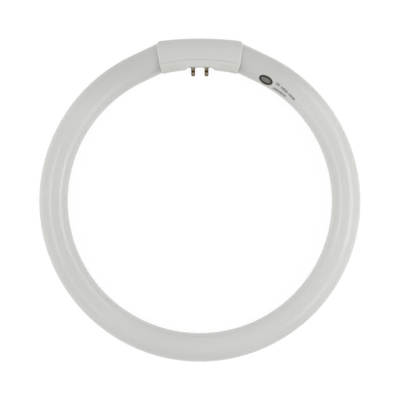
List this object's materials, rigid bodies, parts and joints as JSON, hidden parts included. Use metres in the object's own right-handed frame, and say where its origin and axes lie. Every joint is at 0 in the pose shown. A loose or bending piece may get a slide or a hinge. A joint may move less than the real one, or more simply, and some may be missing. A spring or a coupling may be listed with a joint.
{
  "type": "circular fluorescent tube",
  "caption": "Circular fluorescent lamp: a white glass ring whose ends meet in a two-part moulded plastic cap with contact pins pointing to the centre.",
  "frame": {"origin": "the centre of the ring, halfway through the glass tube's thickness; the lamp lies flat", "axes": "+Z along the ring's axis, towards the camera of the picture; +Y from the ring's centre to the cap; the contact pins point along -Y; +X to the right as seen from +Z"},
  "size_m": [0.19, 0.1911, 0.0198],
  "materials": {
    "phosphor_glass": "white phosphor under clear glass, opaque, glossy",
    "cap_plastic": "satin moulded white plastic",
    "cap_plastic_inner": "satin moulded white plastic, slightly warmer",
    "silicone": "milky silicone, hidden",
    "pin_metal": "dull nickelled brass, drawn and crimped",
    "lead_wire": "tinned wire, hidden"
  },
  "bodies": {
    "root": {"glass_tube": "phosphor_glass", "base_outer_shell": "cap_plastic", "base_inner_shell": "cap_plastic_inner", "glass_bead_left": "silicone", "glass_bead_right": "silicone", "contact_pin_front_left": "pin_metal", "contact_pin_front_right": "pin_metal", "contact_pin_rear_left": "pin_metal", "contact_pin_rear_right": "pin_metal", "lead_wire_front_left": "lead_wire", "lead_wire_front_right": "lead_wire", "lead_wire_rear_left": "lead_wire", "lead_wire_rear_right": "lead_wire"}
  },
  "joints": []
}
